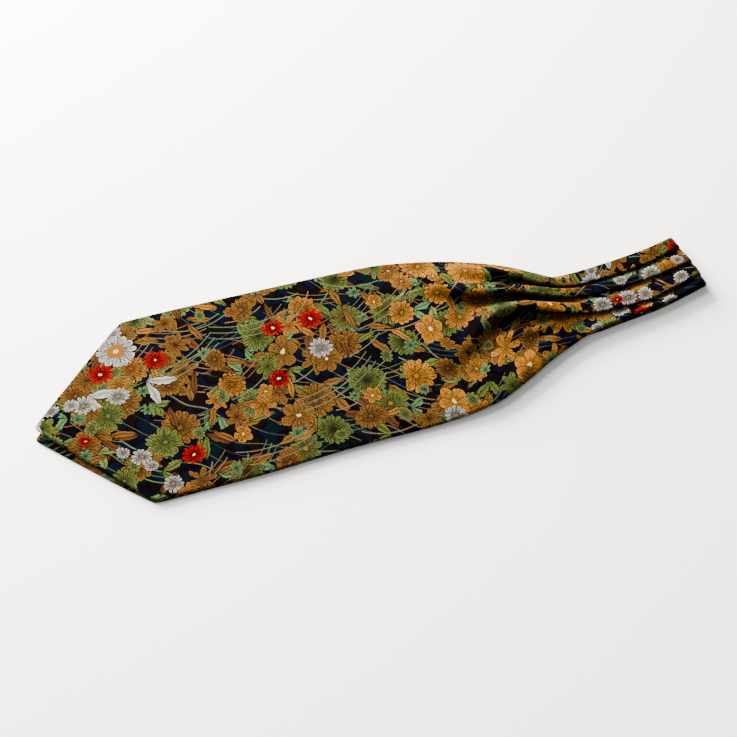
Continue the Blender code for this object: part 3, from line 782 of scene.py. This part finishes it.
# Printed silk twill: acid-dyed flowers packed over a near-black navy ground. The twill gives the
# cloth its fine slanting lines; the filament silk's soft, broad sheen is left out here. All sizes in millimetres.
printScale = 1.1
printLength = 1000.0
fullFlowers = (("mum", "ochre", "rust", 0.2), ("pompon", "olive", "moss", 0.16), ("lily", "ochre", "rust", 0.12),
               ("mum", "amber", "rust", 0.1), ("maple", "ochre", "rust", 0.08), ("aster", "olive", "ochre", 0.08),
               ("five", None, None, 0.12), ("five", "ochre", "cream", 0.06), ("pompon", "sage", "moss", 0.08))
layers = (
    (stemLayer, {"lean": 38.0, "sway": 0.03, "swing": 16.0, "spacing": 12.0, "run": 37.0, "share": 0.5,
                 "half": 0.4, "mix": (("tan", 0.35), ("stemGreen", 0.35), ("stemTeal", 0.3))}),
    (bundleLayer, {"spacing": 32.0, "offset": (3.0, 17.0), "random": 0.8, "spin": 1.7, "turn": 0.7, "bow": 38.0,
                   "gap": 30.0, "half": 0.45, "spread": 9.0, "run": 22.0,
                   "mix": (("stemGreen", 0.4), ("tan", 0.3), ("rust", 0.3))}),
    (leafLayer, {"spacing": 21.0, "offset": (3.0, 8.0), "random": 0.8, "spin": math.tau, "size": (10.0, 2.8),
                 "pair": 0, "egg": -0.3, "tooth": 1.3, "jag": 0.0, "outline": 0.6,
                 "mix": (("moss", 0.1), ("rust", 0.2), (None, 0.25), ("olive", 0.1), ("ochre", 0.35))}),
    (bundleLayer, {"spacing": 37.0, "offset": (13.0, 2.0), "random": 0.8, "spin": 1.4, "turn": 0.9, "bow": 64.0,
                   "gap": 4.4, "half": 0.36, "spread": 4.5, "run": 25.0,
                   "mix": (("stemGreen", 0.35), ("tan", 0.35), ("stemTeal", 0.3))}),
    (leafLayer, {"spacing": 27.0, "offset": (31.0, 2.0), "random": 0.8, "spin": math.tau, "size": (8.0, 2.7),
                 "pair": 36, "egg": 0.1, "tooth": 1.3, "jag": 0.4, "outline": 0.6,
                 "where": ((0.0, 0.8), (90.0, 0.6), (290.0, 0.6), (320.0, 1.0)),
                 "mix": (("mint", 0.3), ("olive", 0.3), (None, 0.15), ("sage", 0.25))}),
    (flowerLayer, {"spacing": 35.0, "offset": (7.0, 3.0), "random": 0.75, "spin": math.tau, "size": (11.0, 15.5),
                   "lean": 1.35, "outline": 0.7, "line": 0.5, "rowWidth": 4.2, "strokes": 13.0,
                   "mix": fullFlowers}),
    (bundleLayer, {"spacing": 43.0, "offset": (21.0, 7.0), "random": 0.8, "spin": 1.8, "turn": 0.6, "bow": 52.0,
                   "gap": 30.0, "half": 0.42, "spread": 9.0, "run": 28.0,
                   "where": ((0.0, 0.0), (90.0, 0.0), (150.0, 0.9), (260.0, 0.9), (310.0, 0.15)),
                   "mix": (("tan", 0.4), ("stemGreen", 0.3), ("rust", 0.3))}),
    (leafLayer, {"spacing": 23.0, "offset": (11.0, 5.0), "random": 0.85, "spin": math.tau, "size": (10.5, 2.3),
                 "pair": 0, "egg": -0.3, "tooth": 1.6, "jag": 0.0, "outline": 0.6,
                 "mix": (("ochre", 0.3), (None, 0.32), ("olive", 0.1), ("amber", 0.13), ("rust", 0.15))}),
    (flowerLayer, {"spacing": 34.0, "offset": (17.0, 13.0), "random": 0.8, "spin": math.tau, "size": (9.5, 13.5),
                   "lean": 1.4, "outline": 0.7, "line": 0.45, "rowWidth": 3.4, "strokes": 10.0,
                   "mix": (("six", "ochre", "cream", 0.07), ("aster", "olive", "moss", 0.13),
                           ("five", None, None, 0.22), ("lily", "amber", "rust", 0.16),
                           ("mum", "ochre", "rust", 0.2), ("maple", "olive", "moss", 0.12),
                           ("maple", "ochre", "rust", 0.1))}),
    (flowerLayer, {"spacing": 31.0, "offset": (29.0, 11.0), "random": 0.75, "spin": math.tau, "size": (10.0, 14.5),
                   "lean": 1.3, "outline": 0.7, "line": 0.45, "rowWidth": 4.0, "strokes": 12.0,
                   "where": ((0.0, 0.0), (255.0, 0.0), (290.0, 0.95), (410.0, 0.95), (430.0, 0.0)),
                   "mix": (("mum", "gold", "ochre", 0.36), ("lily", "gold", "rust", 0.24),
                           ("aster", "amber", "olive", 0.12), ("pompon", "sage", "olive", 0.14),
                           ("five", "gold", "cream", 0.14))}),
    (flowerLayer, {"spacing": 25.0, "offset": (5.0, 23.0), "random": 0.85, "spin": math.tau, "size": (4.5, 7.0),
                   "lean": 1.4, "outline": 0.5, "line": 0.35, "rowWidth": 2.4, "strokes": 6.0,
                   "mix": (("five", "amber", "cream", 0.08), ("five", None, None, 0.5),
                           ("maple", "mint", "moss", 0.14), ("six", "ochre", "rust", 0.12),
                           ("aster", "sage", "moss", 0.16))}),
    (bundleLayer, {"spacing": 53.0, "offset": (9.0, 31.0), "random": 0.7, "spin": 1.1, "turn": 1.0, "bow": 95.0,
                   "gap": 5.2, "half": 0.36, "spread": 6.0, "run": 34.0,
                   "where": ((0.0, 0.0), (90.0, 0.0), (150.0, 0.6), (260.0, 0.6), (310.0, 0.1)),
                   "mix": (("tan", 0.5), ("stemGreen", 0.25), ("rust", 0.25))}),
    (leafLayer, {"spacing": 46.0, "offset": (23.0, 29.0), "random": 0.7, "spin": math.tau, "size": (11.5, 3.3),
                 "pair": 32, "egg": 0.15, "tooth": 1.7, "jag": 0.2, "outline": 0.5,
                 "where": ((0.0, 0.7), (65.0, 0.6), (100.0, 0.0), (430.0, 0.0), (450.0, 0.35)),
                 "mix": (("white", 1.0),)}),
    (flowerLayer, {"spacing": 43.0, "offset": (6.0, 9.0), "random": 0.7, "spin": 1.0, "size": (8.5, 10.5),
                   "lean": 1.3, "outline": 0.5, "line": 0.5, "rowWidth": 12.0, "strokes": 9.0,
                   "where": ((0.0, 0.4), (100.0, 0.3), (225.0, 0.3), (255.0, 0.0), (385.0, 0.0), (400.0, 0.16)),
                   "mix": (("aster", "red", "cream", 1.0),)}),
    (flowerLayer, {"spacing": 27.0, "offset": (1.0, 15.0), "random": 0.75, "spin": 1.0, "size": (7.0, 9.5),
                   "lean": 1.3, "outline": 0.5, "line": 0.55, "rowWidth": 12.0, "strokes": 7.0,
                   "where": ((0.0, 0.5), (75.0, 0.45), (105.0, 0.03), (400.0, 0.03), (425.0, 0.25)),
                   "mix": (("daisy", "white", "tan", 1.0),)}),
    (flowerLayer, {"spacing": 16.0, "offset": (9.0, 1.0), "random": 0.8, "spin": 1.0, "size": (4.5, 6.5),
                   "lean": 1.35, "outline": 0.4, "line": 0.4, "rowWidth": 9.0, "strokes": 5.0,
                   "where": ((0.0, 0.16), (75.0, 0.1), (95.0, 0.0), (415.0, 0.0), (440.0, 0.33)),
                   "mix": (("daisy", "white", "tan", 0.7), ("aster", "red", "cream", 0.3))}),
    (flowerLayer, {"spacing": 62.0, "offset": (15.0, 12.0), "random": 0.6, "spin": 1.0, "size": (14.0, 15.5),
                   "lean": 1.2, "outline": 0.6, "line": 0.6, "rowWidth": 30.0, "strokes": 9.0,
                   "dot": 0.14, "where": ((0.0, 0.5), (80.0, 0.5), (100.0, 0.0)),
                   "mix": (("bigDaisy", "white", "ochre", 1.0),)}),
)
silkTwill = bpy.data.materials.new("printedSilkTwill")
silkTwill.use_nodes = True
tree = silkTwill.node_tree
shader = tree.nodes["Principled BSDF"]
clothUv = addNode(tree, "UVMap", uv_map="cloth")
flat = addNode(tree, "VectorMath", {0: clothUv, "Scale": 1 / (printScale * mm)}, operation="SCALE")
# the printer's hand: nothing is quite straight or round
shaky = addNode(tree, "TexNoise", {"Vector": flat, "Scale": 0.16, "Detail": 2.0}, noise_dimensions="2D")
shakes = addNode(tree, "SeparateColor", [shaky.outputs["Color"]])
shake = addNode(tree, "CombineXYZ", [shakes.outputs[0], shakes.outputs[1], 0.0])
shift = addNode(tree, "VectorMath", {0: shake, "Scale": 3.2}, operation="SCALE")
cloth = addNode(tree, "VectorMath", [flat, shift], operation="ADD")
patch = addNode(tree, "TexNoise", {"Vector": flat, "Scale": 0.07, "Detail": 1.0}, noise_dimensions="2D")
ground = addNode(tree, "ValToRGB", [patch], stops=[
    (0.36, linear(inks["groundBrown"])), (0.47, linear(inks["ground"])), (0.56, linear(inks["groundNavy"])),
    (0.66, linear(inks["groundTeal"]))])
picture = ground.outputs[0]
for layer, spec in layers:
    # a hundredth of a millimetre out of register with the ink beneath: that also makes each layer wait
    # for the last one, so that Cycles holds few values at a time
    base = flat if layer in (stemLayer, bundleLayer) else cloth
    base = addNode(tree, "VectorMath", [picture, (0.01, 0.01, 0.0), base], operation="MULTIPLY_ADD")
    picture = layer(tree, base, picture, spec)
# the engraver's fine slanting strokes, stronger in some places than in others
strokes = addNode(tree, "VectorRotate", {"Vector": flat, "Angle": math.radians(35.0)}, rotation_type="Z_AXIS")
drawnOut = addNode(tree, "VectorMath", [strokes, (0.35, 1.3, 1.0)], operation="MULTIPLY")
streaks = addNode(tree, "TexNoise", {"Vector": drawnOut, "Scale": 1.0, "Detail": 1.0}, noise_dimensions="2D")
shade = addNode(tree, "MapRange", [streaks, 0.35, 0.65, 0.18, 0.0])
picture = laidOver(tree, picture, linear(inks["outline"]), shade)
# the twill's ribs, on the bias; really 0.3 mm apart, they are drawn eight times as coarse to show, with painted
# shade in the grooves between them
twillPitch = 2.2
ribs = addNode(tree, "VectorRotate", {"Vector": flat, "Angle": math.radians(-45.0)}, rotation_type="Z_AXIS")
ribAcross = addNode(tree, "SeparateXYZ", [ribs])
rib = addNode(tree, "Math", [ribAcross.outputs[0], twillPitch / 2], operation="PINGPONG")
# painted shade: outline ink laid into the grooves between the ribs, darkest midway between them
paintedRibShade = addNode(tree, "MapRange", [rib, 0.0, twillPitch / 2, 0.3, 0.0])
picture = laidOver(tree, picture, linear(inks["outline"]), paintedRibShade)
tree.links.new(picture, shader.inputs["Base Color"])
raised = addNode(tree, "Bump", {"Height": rib, "Strength": 0.3, "Distance": 0.0001})
tree.links.new(raised.outputs[0], shader.inputs["Normal"])
shader.inputs["Roughness"].default_value = 0.55
shader.inputs["Specular IOR Level"].default_value = 0.0   # the photograph's matt light shows no gloss

for piece, node, slotName in ((bladeSilk, "upper_blade", "blade_silk"), (bandSilk, "neckband", "neckband_silk"),
                              (underSilk, "under_blade", "under_blade_silk")):
    piece.data.materials.append(silkTwill)
    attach(piece, "root")
    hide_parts(node)

# A plain white table top of opal acrylic, with a faint painted glow that keeps its shadows pale
tableTop = {"size": 6.0, "colour": "#faf9f7", "roughness": 0.8, "paintedGlow": 0.03}
bm = bmesh.new()
bmesh.ops.create_grid(bm, x_segments=2, y_segments=2, size=tableTop["size"] / 2)
floor = newPiece("tableTop", bm)
opalAcrylic = bpy.data.materials.new("opalAcrylic")
opalAcrylic.use_nodes = True
floorShader = opalAcrylic.node_tree.nodes["Principled BSDF"]
floorShader.inputs["Base Color"].default_value = linear(tableTop["colour"])
floorShader.inputs["Roughness"].default_value = tableTop["roughness"]
# painted glow: the table top gives off a little light of its own, though it is no lamp
floorShader.inputs["Emission Color"].default_value = linear(tableTop["colour"])
floorShader.inputs["Emission Strength"].default_value = tableTop["paintedGlow"]
floor.data.materials.append(opalAcrylic)

# A wide window low behind and to the left, dimmer daylight above it, a weak soft box overhead and
# pale walls round about
lights = {
    "window": {"place": (-700.0, 1600.0, 470.0), "size": (1700.0, 900.0), "watts": 640.0, "colour": "#fffaf4"},
    "daylight": {"place": (-500.0, 1100.0, 1100.0), "size": (1300.0, 1000.0), "watts": 62.0, "colour": "#fffcf8"},
    "softBox": {"place": (200.0, -300.0, 1500.0), "size": (1400.0, 1400.0), "watts": 7.0, "colour": "#fbfcff"},
}
for name, facts in lights.items():
    lamp = bpy.data.lights.new(name, "AREA")
    lamp.energy = facts["watts"]
    lamp.shape = "RECTANGLE"
    lamp.size, lamp.size_y = (side * mm for side in facts["size"])
    lamp.color = linear(facts["colour"])[:3]
    holder = bpy.data.objects.new(name, lamp)
    holder.location = Vector(facts["place"]) * mm
    holder.rotation_euler = (-holder.location).to_track_quat("-Z", "Y").to_euler()
    bpy.context.scene.collection.objects.link(holder)
walls = {"colour": "#fbfbfc", "strength": 0.17}
world = bpy.data.worlds.new("paleWalls")
bpy.context.scene.world = world
world.use_nodes = True
world.node_tree.nodes["Background"].inputs["Color"].default_value = linear(walls["colour"])
world.node_tree.nodes["Background"].inputs["Strength"].default_value = walls["strength"]

# The photograph's view: 60 degrees above the surface, 1 m away, the cravat's axis turned 16.74 degrees
camera = {"target": (273.2, -19.6, 0.0), "place": (129.2, -498.4, 866.0), "lens": 58.8}
eye = bpy.data.cameras.new("camera")
eye.lens = camera["lens"]
eyeHolder = bpy.data.objects.new("camera", eye)
eyeHolder.location = toFrame(*camera["place"])
look = toFrame(*camera["target"]) - eyeHolder.location
eyeHolder.rotation_euler = look.to_track_quat("-Z", "Y").to_euler()
bpy.context.scene.collection.objects.link(eyeHolder)
bpy.context.scene.camera = eyeHolder
